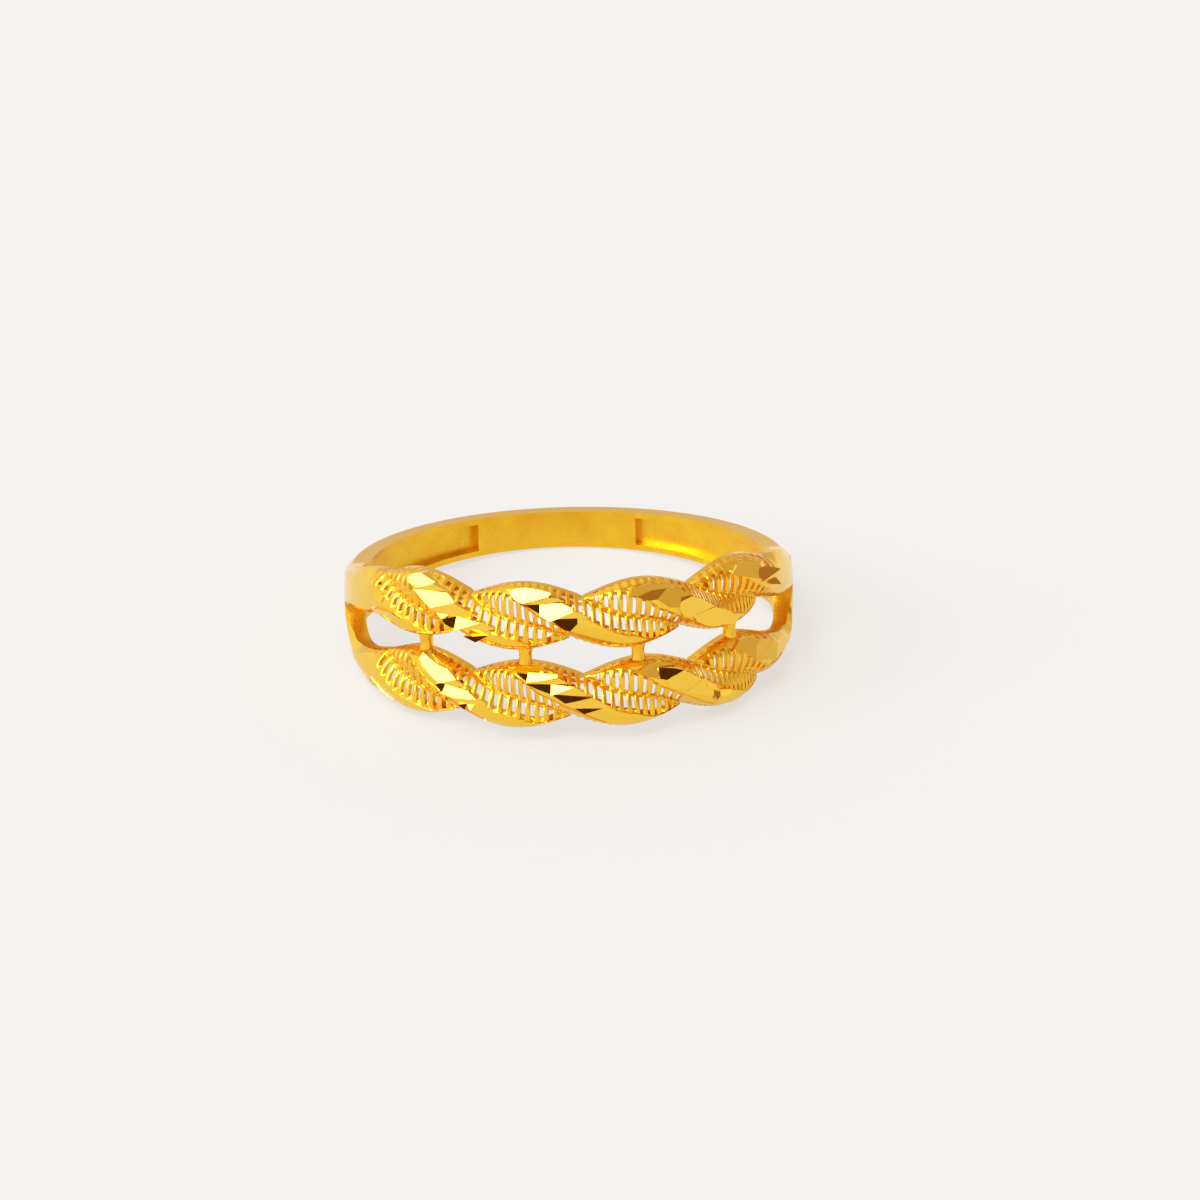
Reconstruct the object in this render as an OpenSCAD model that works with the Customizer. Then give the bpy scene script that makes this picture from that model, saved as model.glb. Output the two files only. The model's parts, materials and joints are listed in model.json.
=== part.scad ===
// Twist ring: one piece of cast gold that lies on its side, as it would rest by itself.
// Two pierced rope rows make its front, a plain hollowed shank its back, and a forked shoulder
// joins them on each side.
// A place on the ring is given by three values. Turn is the angle from the middle of the front,
// rise is the height along the ring's axis, and reach is the distance from that axis.

/* [Finger hole] */
// Diameter of the finger hole
finger_d = 17.3; // [16.5:0.1:18.5]

/* [Shank] */
// Wall of the shank at the back
back_wall = 1.0; // [0.9:0.05:1.2]
// Wall of the shank at the shoulders
shoulder_wall = 1.15; // [1.05:0.05:1.4]
// Width of the shank at the back
back_width = 1.65; // [1.4:0.05:2]
// Width of the shank at its sides
side_width = 2.6; // [2.4:0.05:3]
// Bevel along the outer edges of the shank
edge_bevel = 0.25; // [0.15:0.05:0.35]
// How much the shank's outside is crowned
crown = 0.08; // [0.02:0.02:0.12]
// Turn at which each shoulder forks into its two arms
fork_turn = 88; // [84:1:92]
// Depth of the two pockets inside the shank
pocket_depth = 0.4; // [0.2:0.05:0.5]
// Width of the rim beside each pocket
pocket_rim = 0.25; // [0.2:0.05:0.35]
// Half of the turn that the plain patch between the pockets takes
patch_turn = 24; // [16:1:32]

/* [Rows] */
// Distance between the middles of the two rows
row_spacing = 3.5; // [3.4:0.05:3.8]
// Half of a row's height at the top of a hump
hump_half = 1.5; // [1.4:0.05:1.55]
// Half of a row's height at a notch between two humps
notch_half = 0.88; // [0.8:0.02:1]
// Half of a row's height at the shallow notch beside the left shoulder
end_half = 1.15; // [1.05:0.05:1.25]
// Turn from one lobe to the next
lobe_turn = 31.2; // [30:0.2:32]
// Turn of the notch in the upper edge that is nearest the middle
middle_notch = 0.5; // [-1:0.5:2]
// Height of a row's edge above the finger hole
edge_height = 0.4; // [0.35:0.05:0.5]
// Height of a lobe's crest above the finger hole
crest_height = 1.3; // [1.2:0.05:1.5]
// Height of the seam between two lobes, as a share of their crest's height above the edges
seam_rise = 0.6; // [0.55:0.05:0.65]
// Wall of the domed lobes
lobe_wall = 0.4; // [0.35:0.05:0.5]
// Width of the rim that a lobe's edge stands on
rim_width = 0.25; // [0.2:0.05:0.3]

/* [Piercing] */
// Slots in the turn of one lobe
slots = 6; // [5:1:6]
// Share of a slot's pitch that is open
slot_share = 0.5; // [0.4:0.05:0.55]

/* [Posts] */
// Diameter of the posts between the rows
post_d = 0.54; // [0.45:0.03:0.6]

/* [Hidden] */
// Lobes that stand free between the shoulders, and one more strip that grows from each shoulder
free_lobes = 3;
last = free_lobes + 1;
finger_r = finger_d / 2;
// Everything is built a little inside the finger hole and then trimmed by it
blank_r = finger_r - 0.1;
bore_sides = 240;
post_sides = 24;

// Share of the lobe turn from an upper notch to the next lower one, which is where a slot starts
notch_share = (slots - 0.5 - slot_share / 2) / slots;
first_notch = middle_notch - 2 * lobe_turn;
end_notch = first_notch + last * lobe_turn;
low_lag = (1 - notch_share) * lobe_turn;

// Where a leaf lies across its lobe: [place along the lobe, its low edge, its high edge], as
// shares of the lobe's height there
LEAF = [
    [0.00, 0.75, 0.83], [0.36, 0.77, 0.86], [0.44, 0.66, 0.91], [0.52, 0.53, 0.92],
    [0.62, 0.35, 0.94], [0.73, 0.29, 0.90], [0.80, 0.25, 0.84], [0.88, 0.24, 0.74],
    [1.03, 0.16, 0.67], [1.20, 0.12, 0.57], [1.42, 0.12, 0.48], [1.62, 0.14, 0.24],
    [1.90, 0.18, 0.26]
];
leaf_low = [for (row = LEAF) [row[0], row[1]]];
leaf_high = [for (row = LEAF) [row[0], row[2]]];
// Share of a flank that its plain edge takes, and how high the dome is there and at the leaf
edge_share = 0.22;
edge_rise = 0.55;
leaf_rise = 0.88;
// How far the ridge of a leaf zigzags to either side of its middle, as a share of its height
zigzag = 0.28;
// Places along the lobe between which its two flanks are pierced: [low flank, high flank]
PIERCED = [[0.1, 0.9], [0.5, 1.8]];
// How much the seam swells up beside its upper notch and down beside its lower one
valley_swell = 0.065;
// Widths of a row at which it is still solid, and over which its hollow then deepens
solid_width = 0.5;
hollow_width = 0.4;
// Largest share of a row's width that one rim takes
rim_share = 0.35;

// Columns of the shank from its back to the fork, and of an arm from the fork to its row
shank_steps = 11;
arm_steps = 5;
// Turns at which a lobe has wholly become an arm, and at which it is still all lobe
arm_turn = 72;
lobe_end = 57;
// Turn at which the shank starts to flare, and at which the pockets start
flare_turn = 98;
pocket_turn = 97;
// Turns past the fork within which the fork's bevel and each arm's own crown are reached
bevel_turns = 6;
crown_turns = 12;
// Width that the outer bevel reaches where an arm meets its row
scoop_width = 0.9;
// Power by which an upper arm's edge rises along the fork, so that it starts flat
fork_power = 1.4;
// Power by which a lower arm's edge falls along the fork, so that the fork ends bluntly, how much
// further that edge hangs down, and the power that puts its lowest place near the fork's end
fall_power = 0.3;
fork_sag = 0.6;
sag_power = 0.75;

function mix(a, b, t) = a + (b - a) * t;
function clamp(t) = max(0, min(1, t));
function ease(t) = let (c = clamp(t)) c * c * (3 - 2 * c);

// Edges of a row

function upper_notch(k) = first_notch + (k - 1) * lobe_turn;
function lower_notch(k) = upper_notch(k) - low_lag;
function hump(t, notch = notch_half) = notch + (hump_half - notch) * sin(180 * clamp(t));
// The seam between two lobes falls from the upper notch to the lower one
function valley(t) =
    let (c = clamp(t / notch_share)) notch_half * (1 - 2 * (c + valley_swell * sin(360 * c)));

function half_width(turn) = side_width / 2 + (side_width - back_width) / 2 * min(0, cos(turn));
// 0 at one turn and 1 at another, on either side of the ring
function way(turn, from, to) = clamp((from - abs(turn)) / (from - abs(to)));
// Outer edge of an arm, which flares from the shank's width to its row's half height at the end
function arm_out(turn, end, half) =
    mix(half_width(turn), row_spacing / 2 + half, ease(way(turn, flare_turn, end)));

// Rise of a lower arm's edge along the fork, from the fork's end at s = 0 to its row at s = 1
function fork_fall(s) = (notch_half - row_spacing / 2) * pow(s, fall_power)
    - fork_sag * sin(180 * pow(s, sag_power));

// side is 1 on the upper row and -1 on the lower one, k the number of the strip
function arm_high(side, turn, end) = side > 0 ? arm_out(turn, end, notch_half)
    : fork_fall(way(turn, fork_turn, end));
function arm_low(side, turn, end, half) = side < 0 ? -arm_out(turn, end, half)
    : (row_spacing / 2 - half) * pow(way(turn, fork_turn, end), fork_power);
function high_edge(side, k, turn) =
    let (middle = side * row_spacing / 2, t = (turn - upper_notch(k)) / lobe_turn)
    k == 0 && turn < upper_notch(1) ? arm_high(side, turn, upper_notch(1))
    : t <= 1 ? middle + hump(t)
    : k == last ? arm_high(side, turn, end_notch)
    : middle + valley(t - 1);
function low_edge(side, k, turn) =
    let (middle = side * row_spacing / 2, t = (turn - upper_notch(k)) / lobe_turn)
    k > 0 && t <= notch_share ? middle + valley(t)
    : k == 0 && turn < lower_notch(1) ? arm_low(side, turn, lower_notch(1), end_half)
    : k == last ? arm_low(side, turn, end_notch - low_lag, notch_half)
    : middle - hump(t - notch_share, k == 0 && t < 0.5 + notch_share ? end_half : notch_half);

// Section of a lobe or an arm: seven places across it, from its low edge to its high edge

function shank_reach(turn) = finger_r + mix(shoulder_wall, back_wall, clamp(-cos(turn)));
// 0 where the rows are lobes, 1 where they have wholly become arms
function armness(turn) = ease((abs(turn) - lobe_end) / (arm_turn - lobe_end));

function lobe_shares(t, flip) =
    let (low = lookup(t, leaf_low), high = lookup(t, leaf_high))
    [0, low * edge_share, low, mix(low, high, 0.5 + flip * zigzag), high,
     1 - (1 - high) * edge_share, 1];
function lobe_height(t) = pow(max(0, sin(180 * clamp(t / (1 + notch_share)))), 0.6);
LOBE_RISE = [0, edge_rise, leaf_rise, 1, leaf_rise, edge_rise, 0];
// Height of the seam below strip k, from one notch to the other. A free edge has none.
function seam_height(k, turn) = k == 0 || k > last ? 0
    : seam_rise * pow(max(0, sin(180 * clamp((turn - upper_notch(k)) / (notch_share * lobe_turn)))), 0.6);

// The outer bevel of an arm widens to a scoop towards its row
function arm_shares(side, turn, width) =
    let (
        narrow = min(0.3, edge_bevel / width),
        wide = min(0.45, mix(edge_bevel, scoop_width, ease(way(turn, fork_turn, arm_turn))) / width),
        low = side > 0 ? narrow : wide,
        high = 1 - (side > 0 ? wide : narrow)
    )
    [0, low, mix(low, high, 0.25), mix(low, high, 0.5), mix(low, high, 0.75), high, 1];
// The bevel along the fork starts at its corner and deepens towards the rows
function edge_cut(side, turn, j) =
    j == (side > 0 ? 6 : 0) ? edge_bevel
    : j == (side > 0 ? 0 : 6) ? edge_bevel * clamp((fork_turn - abs(turn)) / bevel_turns)
    : 0;
// The crown spans the whole shank at the back and each arm by itself past the fork
function crown_drop(turn, rise, low, high) =
    let (
        forked = clamp((fork_turn - abs(turn)) / crown_turns),
        middle = mix(0, (low + high) / 2, forked),
        half = mix(half_width(turn), (high - low) / 2, forked)
    )
    half > 0 ? crown * pow((rise - middle) / half, 2) : crown;

function at(turn, rise, reach) =
    [for (v = [reach * sin(turn), -reach * cos(turn), rise]) round(v * 10000) / 10000];

// Points of one column: seven on the outside, then nine on the inside
function column(side, k, turn, flip) =
    let (
        low = low_edge(side, k, turn),
        high = high_edge(side, k, turn),
        width = high - low,
        t = (turn - upper_notch(k)) / lobe_turn,
        arm = armness(turn),
        lobe = lobe_shares(t, flip),
        band = arm_shares(side, turn, width),
        shares = [for (j = [0:6]) mix(lobe[j], band[j], arm)],
        crest = crest_height - edge_height,
        low_seam = seam_height(k, turn),
        high_seam = seam_height(k + 1, turn),
        lifts = [for (s = shares) mix(low_seam, high_seam, s)],
        rises = [for (j = [0:6]) mix(lifts[j], max(lifts[j], lobe_height(t)), LOBE_RISE[j])],
        drops = [for (j = [0:6])
            crown_drop(turn, mix(low, high, shares[j]), low, high) + edge_cut(side, turn, j)],
        reaches = [for (j = [0:6])
            mix(finger_r + edge_height + crest * rises[j], shank_reach(turn) - drops[j], arm)],
        hollow = (1 - arm) * clamp((width - solid_width) / hollow_width),
        rim = min(rim_width, width * rim_share)
    )
    concat(
        [for (j = [0:6]) at(turn, mix(low, high, shares[j]), reaches[j])],
        [at(turn, low, blank_r), at(turn, low + rim, blank_r)],
        [for (j = [1:5]) at(
            turn,
            mix(low + rim, high - rim, shares[j]),
            mix(blank_r, max(blank_r, reaches[j] - lobe_wall), hollow)
        )],
        [at(turn, high - rim, blank_r), at(turn, high, blank_r)]
    );

// Columns of each strip

function slot_edge(i, edge) = (i + 0.5 + edge * slot_share / 2) / slots;
lobe_start = concat([0], [for (i = [0:slots - 1], edge = [-1, 1]) slot_edge(i, edge)], [1]);
lobe_finish = concat(
    [for (i = [slots:2 * slots - 2], edge = [-1, 1]) slot_edge(i, edge)],
    [slot_edge(2 * slots - 1, -1)]
);
function turns_from(k, places) = [for (t = places) upper_notch(k) + t * lobe_turn];
// Turns from the back of the shank to where a row's edge begins
function side_turns(end) = concat(
    [for (i = [0:shank_steps - 1]) mix(180, fork_turn, i / shank_steps)],
    [for (i = [0:arm_steps - 1]) mix(fork_turn, end, i / arm_steps)]
);
left_turns = [for (turn = side_turns(-lower_notch(1))) -turn];
right_sides = side_turns(end_notch);
right_turns = [for (i = [len(right_sides) - 1:-1:0]) right_sides[i]];
STRIPS = [for (k = [0:last])
    k == 0 ? concat(left_turns, [lower_notch(1), upper_notch(1)], turns_from(0, lobe_finish))
    : k == last ? concat(turns_from(k, lobe_start), right_turns)
    : turns_from(k, concat(lobe_start, lobe_finish))
];
COLUMN = 16;

function starts(k) = k == 0 ? 0 : starts(k - 1) + len(STRIPS[k - 1]);
columns = starts(last) + len(STRIPS[last]);
function index(row, k, i) = COLUMN * (row * columns + starts(k) + i);

points = [for (row = [0:1], k = [0:last], i = [0:len(STRIPS[k]) - 1])
    each column(2 * row - 1, k, STRIPS[k][i], i % 2 == 0 ? 1 : -1)];

// Faces: each quad as two triangles, without those that a notch closes up

function solid_face(f) = points[f[0]] != points[f[1]] && points[f[1]] != points[f[2]]
    && points[f[2]] != points[f[0]];
function quad(a, b, c, d) = [for (f = [[a, b, c], [a, c, d]]) if (solid_face(f)) f];
// p and q are on the outside, and the wall goes down to the inside points beside them
function wall(p, q, p_in, q_in) = quad(p, q, q_in, p_in);

function is_slot(k, a, b, j) =
    let (
        t = ((a + b) / 2 - upper_notch(k)) / lobe_turn,
        open = abs((t * slots) - floor(t * slots) - 0.5) < 0.01,
        span = j == 1 ? PIERCED[0] : PIERCED[1],
        free = k == 0 ? t > 1 : k == last ? t < 1 : true
    )
    (j == 1 || j == 4) && open && free && t > span[0] && t < span[1];

function strip_faces(row, k) = [for (i = [0:len(STRIPS[k]) - 2])
    let (
        a = index(row, k, i),
        b = index(row, k, i + 1),
        turn_a = STRIPS[k][i],
        turn_b = STRIPS[k][i + 1],
        middle = (turn_a + turn_b) / 2,
        shank = abs(middle) > fork_turn,
        high_free = (k == last || middle < upper_notch(k + 1)) && !(row == 0 && shank),
        low_free = (k == 0 || middle > lower_notch(k + 1)) && !(row == 1 && shank)
    )
    each concat(
        [for (j = [0:5]) if (!is_slot(k, turn_a, turn_b, j))
            each quad(a + j, a + j + 1, b + j + 1, b + j)],
        [for (j = [0:7]) if (!is_slot(k, turn_a, turn_b, j - 1))
            each quad(a + 7 + j, b + 7 + j, b + 8 + j, a + 8 + j)],
        [for (j = [1, 4]) if (is_slot(k, turn_a, turn_b, j)) each concat(
            wall(a + j, a + j + 1, a + 8 + j, a + 9 + j),
            wall(a + j + 1, b + j + 1, a + 9 + j, b + 9 + j),
            wall(b + j + 1, b + j, b + 9 + j, b + 8 + j),
            wall(b + j, a + j, b + 8 + j, a + 8 + j)
        )],
        high_free ? wall(b + 6, a + 6, b + 15, a + 15) : [],
        low_free ? wall(a, b, a + 7, b + 7) : []
    )];

faces = [for (row = [0:1], k = [0:last]) each strip_faces(row, k)];

// Rest: the plane under the lowest places of the left, the right and the back. In front these are
// on the rim of the finger hole, because the ground falls away from the ring there.

low_points = [for (k = [0:last], turn = STRIPS[k])
    if (abs(turn) < fork_turn) at(turn, low_edge(-1, k, turn), finger_r)];
back_foot = [0, shank_reach(180) - edge_bevel - crown, -back_width / 2];
function foot(side, slope, i = 0, best = undef) =
    i >= len(low_points) ? best
    : let (
        p = low_points[i],
        better = p[0] * side > 0 && (best == undef || p[2] - p[1] * slope < best[2] - best[1] * slope)
    ) foot(side, slope, i + 1, better ? p : best);
// Slope of the ground below the ring, which is near enough for the search of its two front feet
first_slope = (hump_half + row_spacing / 2 - back_width / 2) / (finger_d - 2 * crest_height);
left_foot = foot(-1, first_slope);
right_foot = foot(1, first_slope);
up = cross(right_foot - left_foot, back_foot - left_foot);
rest_lean = atan2(-up[0], up[2]);
rest_tilt = atan2(up[1], norm([up[0], up[2]]));

module rest() {
    lift = -(left_foot * up) / norm(up);
    front = (finger_r + crest_height) * cos(rest_tilt) - row_spacing / 2 * sin(rest_tilt);
    back = shank_reach(180) * cos(rest_tilt) - back_width / 2 * sin(rest_tilt);
    translate([0, (front - back) / 2, lift]) rotate([rest_tilt, 0, 0]) rotate([0, rest_lean, 0]) children();
}

module bore() {
    cylinder(r = finger_r, h = 4 * row_spacing, center = true, $fn = bore_sides);
}

// Shallow pocket inside one side of the shank, whose rims stay the same width as the shank narrows
module pocket() {
    floor_r = finger_r + pocket_depth;
    side_half = side_width / 2 - pocket_rim;
    back_half = back_width / 2 - pocket_rim;
    intersection() {
        rotate([0, 0, pocket_turn - 90])
            rotate_extrude(angle = 180 - patch_turn - pocket_turn, $fn = bore_sides)
                translate([blank_r, -side_width]) square([floor_r - blank_r, 2 * side_width]);
        rotate([90, 0, 90]) linear_extrude(height = 2 * floor_r, center = true)
            polygon([[0, -side_half], [floor_r, -back_half], [floor_r, back_half], [0, side_half]]);
    }
}

// Posts stand where a hump of the lower row is under a hump of the upper one, and the finger hole
// just grazes them
module posts() {
    height = row_spacing - 2 * hump_half + 2 * rim_width;
    graze = 0.02;
    for (i = [0:free_lobes])
        rotate([0, 0, (i - free_lobes / 2) * lobe_turn])
            translate([0, graze - finger_r - post_d / 2, 0])
                cylinder(d = post_d, h = height, center = true, $fn = post_sides);
}

module twist_ring() {
    color("gold") rest() difference() {
        union() {
            polyhedron(points = points, faces = faces, convexity = 10);
            posts();
        }
        bore();
        pocket();
        mirror([1, 0, 0]) pocket();
    }
}

twist_ring();
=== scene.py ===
"""Dresses the twist ring: two pierced, diamond-cut rope rows in front, forked shoulders, hollowed shank.

Lengths in the classes are in millimetres in the ring's own axes: shape() turns them into metres, and
RingPlace moves them into the model's frame. A place on the ring is given by its turn (degrees from the
middle of the front, positive to the right), its rise along the ring's axis, and its reach from that axis.
"""
import json
import logging
import math
from dataclasses import dataclass, field
from enum import Enum, IntEnum

import bmesh
import bpy
import numpy as np
from mathutils import Matrix, Vector


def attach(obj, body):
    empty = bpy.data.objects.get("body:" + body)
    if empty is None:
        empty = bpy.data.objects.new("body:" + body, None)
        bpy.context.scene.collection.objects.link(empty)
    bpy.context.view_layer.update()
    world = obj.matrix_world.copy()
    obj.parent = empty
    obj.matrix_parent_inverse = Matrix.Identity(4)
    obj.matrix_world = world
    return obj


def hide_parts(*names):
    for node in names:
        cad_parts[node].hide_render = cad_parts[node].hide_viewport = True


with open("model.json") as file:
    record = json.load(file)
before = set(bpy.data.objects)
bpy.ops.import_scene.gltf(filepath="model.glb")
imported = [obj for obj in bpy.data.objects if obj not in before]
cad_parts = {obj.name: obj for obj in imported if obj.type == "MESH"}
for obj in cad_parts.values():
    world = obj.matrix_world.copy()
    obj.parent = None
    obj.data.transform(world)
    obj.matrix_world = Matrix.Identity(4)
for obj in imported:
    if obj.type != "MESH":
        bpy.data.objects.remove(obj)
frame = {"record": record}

log = logging.getLogger("twist_ring")
MM = 0.001
NODE = "twist_ring"
# Distance in metres at which doubles merge, and the least width in mm that a share is taken of
MERGE = 2e-7
TINY = 1e-6


def clamp(value: float) -> float:
    """Keeps a share between 0 and 1."""
    return min(1.0, max(0.0, value))


def mix(a: float, b: float, share: float) -> float:
    """Goes from a to b as the share goes from 0 to 1."""
    return a + (b - a) * share


def ease(value: float) -> float:
    """Eases a share in and out."""
    share = clamp(value)
    return share * share * (3 - 2 * share)


def direction(turn: float, height: float) -> np.ndarray:
    """Unit vector that looks out at a turn and at an angle above the ring's plane.

    Args:
        turn: Turn in degrees.
        height: Angle above the ring's plane in degrees.

    Returns:
        The unit vector in the ring's own axes.
    """
    a, e = math.radians(turn), math.radians(height)
    return np.array([math.sin(a) * math.cos(e), -math.cos(a) * math.cos(e), math.sin(e)])


@dataclass
class RingPlace:
    """Where the ring lies: its own axes, taken from the finger hole in the record."""

    mount: dict = field(default_factory=lambda: frame["record"]["mounts"][0])

    @property
    def finger_r(self) -> float:
        """Radius of the finger hole."""
        return self.mount["dims"]["r_mm"]

    @property
    def matrix(self) -> Matrix:
        """Turns the ring's own axes into the model's frame, both in metres.

        Returns:
            The matrix.
        """
        x, y, z = self.mount["axis"]
        lean, tilt = math.asin(x), -math.atan2(y, z)
        turned = Matrix.Rotation(tilt, 4, "X") @ Matrix.Rotation(lean, 4, "Y")
        return Matrix.Translation(Vector(self.mount["pos_m"])) @ turned

    def put(self, piece: bpy.types.Object) -> None:
        """Moves a piece's mesh from the ring's own axes into the model's frame."""
        piece.data.transform(self.matrix)
        piece.data.update()


def at(turn: float, rise: float, reach: float) -> np.ndarray:
    """Point in the ring's own axes, in mm.

    Args:
        turn: Turn in degrees.
        rise: Height along the axis.
        reach: Distance from the axis.

    Returns:
        The point.
    """
    a = math.radians(turn)
    return np.array([reach * math.sin(a), -reach * math.cos(a), rise])


def start_fresh() -> None:
    """Leaves edit mode and deselects everything, so that an operator acts on new work alone."""
    if bpy.context.mode != "OBJECT":
        bpy.ops.object.mode_set(mode="OBJECT")
    bpy.ops.object.select_all(action="DESELECT")


def new_piece(name: str) -> bpy.types.Object:
    """Names the primitive that was just added.

    Args:
        name: Name of the piece.

    Returns:
        The object.
    """
    piece = bpy.context.object
    piece.name = name
    piece.data.name = name
    return piece


def shape(piece: bpy.types.Object, points: np.ndarray) -> None:
    """Puts each vertex of a piece in its place.

    Args:
        piece: The piece.
        points: Its places, in mm in the ring's own axes.
    """
    piece.matrix_world = Matrix.Identity(4)
    piece.data.vertices.foreach_set("co", (points.reshape(-1) * MM).astype(np.float32))
    piece.data.update()


def join(pieces: list[bpy.types.Object], name: str) -> bpy.types.Object:
    """Joins pieces into one.

    Args:
        pieces: The pieces, the first of which stays.
        name: Name of the joined piece.

    Returns:
        The joined piece.
    """
    start_fresh()
    for piece in pieces:
        piece.select_set(True)
    bpy.context.view_layer.objects.active = pieces[0]
    if len(pieces) > 1:
        bpy.ops.object.join()
    return new_piece(name)


def close_up(piece: bpy.types.Object, smooth_deg: float | None) -> None:
    """Merges doubles, turns the faces outwards and shades the piece.

    Args:
        piece: The piece.
        smooth_deg: Angle under which neighbouring faces are shaded smooth, or None for flat ones.
    """
    start_fresh()
    piece.select_set(True)
    bpy.context.view_layer.objects.active = piece
    bpy.ops.object.mode_set(mode="EDIT")
    bpy.ops.mesh.select_all(action="SELECT")
    bpy.ops.mesh.remove_doubles(threshold=MERGE)
    bpy.ops.mesh.dissolve_degenerate(threshold=MERGE)
    bpy.ops.mesh.select_all(action="SELECT")
    bpy.ops.mesh.delete_loose()
    bpy.ops.mesh.select_all(action="SELECT")
    bpy.ops.mesh.normals_make_consistent(inside=False)
    bpy.ops.object.mode_set(mode="OBJECT")
    if smooth_deg is None:
        bpy.ops.object.shade_flat()
    else:
        bpy.ops.object.shade_smooth_by_angle(angle=math.radians(smooth_deg))


@dataclass
class RopeRow:
    """Plan of one rope row: the edges of its five strips and of the arms that they grow from."""

    side: int
    spacing: float = 3.5
    hump_half: float = 1.5
    notch_half: float = 0.88
    end_half: float = 1.15
    lobe_turn: float = 31.2
    first_notch: float = -61.9
    notch_share: float = 0.875
    valley_swell: float = 0.065
    side_width: float = 2.6
    back_width: float = 1.65
    fork_turn: float = 88.0
    flare_turn: float = 98.0
    fork_power: float = 1.4
    fall_power: float = 0.3
    fork_sag: float = 0.6
    sag_power: float = 0.75
    last: int = 4

    @property
    def middle(self) -> float:
        """Rise of the row's middle."""
        return self.side * self.spacing / 2

    def upper_notch(self, k: int) -> float:
        """Turn of the notch in the upper edge at which strip k begins."""
        return self.first_notch + (k - 1) * self.lobe_turn

    def lower_notch(self, k: int) -> float:
        """Turn of the notch in the lower edge at which strip k's lower flank ends."""
        return self.upper_notch(k) - (1 - self.notch_share) * self.lobe_turn

    def hump(self, t: float, notch: float) -> float:
        """Half height of the row along one hump."""
        return notch + (self.hump_half - notch) * math.sin(math.pi * clamp(t))

    def valley(self, t: float) -> float:
        """Rise of the seam between two strips, from the upper notch to the lower one."""
        c = clamp(t / self.notch_share)
        return self.notch_half * (1 - 2 * (c + self.valley_swell * math.sin(2 * math.pi * c)))

    def half_width(self, turn: float) -> float:
        """Half of the shank's width."""
        narrow = min(0.0, math.cos(math.radians(turn)))
        return self.side_width / 2 + (self.side_width - self.back_width) / 2 * narrow

    def way(self, turn: float, start: float, end: float) -> float:
        """Share of the way from one turn to another, on either side of the ring."""
        return clamp((start - abs(turn)) / (start - abs(end)))

    def arm_out(self, turn: float, end: float, half: float) -> float:
        """Outer edge of an arm, which flares from the shank to its row."""
        share = ease(self.way(turn, self.flare_turn, end))
        return mix(self.half_width(turn), self.spacing / 2 + half, share)

    def arm_in(self, turn: float, end: float, half: float) -> float:
        """Edge of an arm along the fork, whose lower side falls at once and hangs down midway.

        Args:
            turn: Turn in degrees.
            end: Turn at which the arm has become its row.
            half: Half height of the row there.

        Returns:
            Distance of the edge from the middle between the rows.
        """
        share = self.way(turn, self.fork_turn, end)
        if self.side > 0:
            return (self.spacing / 2 - half) * share ** self.fork_power
        sag = self.fork_sag * math.sin(math.pi * share ** self.sag_power)
        return (self.spacing / 2 - half) * share ** self.fall_power + sag

    def arm_high(self, turn: float, end: float, half: float) -> float:
        """Rise of an arm's upper edge, which in the lower row is the one along the fork."""
        return self.arm_out(turn, end, half) if self.side > 0 else -self.arm_in(turn, end, half)

    def arm_low(self, turn: float, end: float, half: float) -> float:
        """Rise of an arm's lower edge, which in the upper row is the one along the fork."""
        return self.arm_in(turn, end, half) if self.side > 0 else -self.arm_out(turn, end, half)

    def high_edge(self, k: int, turn: float) -> float:
        """Finds a strip's upper edge.

        Args:
            k: The strip.
            turn: Turn in degrees.

        Returns:
            Rise of the edge.
        """
        t = (turn - self.upper_notch(k)) / self.lobe_turn
        if k == 0 and turn < self.upper_notch(1):
            return self.arm_high(turn, self.upper_notch(1), self.notch_half)
        if t <= 1:
            return self.middle + self.hump(t, self.notch_half)
        if k == self.last:
            return self.arm_high(turn, self.upper_notch(k + 1), self.notch_half)
        return self.middle + self.valley(t - 1)

    def low_edge(self, k: int, turn: float) -> float:
        """Finds a strip's lower edge.

        Args:
            k: The strip.
            turn: Turn in degrees.

        Returns:
            Rise of the edge.
        """
        t = (turn - self.upper_notch(k)) / self.lobe_turn
        if k > 0 and t <= self.notch_share:
            return self.middle + self.valley(t)
        if k == 0 and turn < self.lower_notch(1):
            return self.arm_low(turn, self.lower_notch(1), self.end_half)
        if k == self.last:
            return self.arm_low(turn, self.lower_notch(k + 1), self.notch_half)
        notch = self.end_half if k == 0 and t < 0.5 + self.notch_share else self.notch_half
        return self.middle - self.hump(t - self.notch_share, notch)


class FinishSlot(IntEnum):
    """Places of the three finishes among a strip's material slots."""

    POLISHED = 0
    CAST = 1
    # The inside finish is matt, and its deeper yellow is painted shade
    INSIDE = 2


@dataclass(frozen=True)
class Opening:
    """A kind of opening in a strip.

    It is cut between start and end along the strip, where its flank is wider than least, and takes up
    the given first and last row.
    """

    low: bool
    start: float
    end: float
    least: float
    rows: tuple[int, int]


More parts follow.
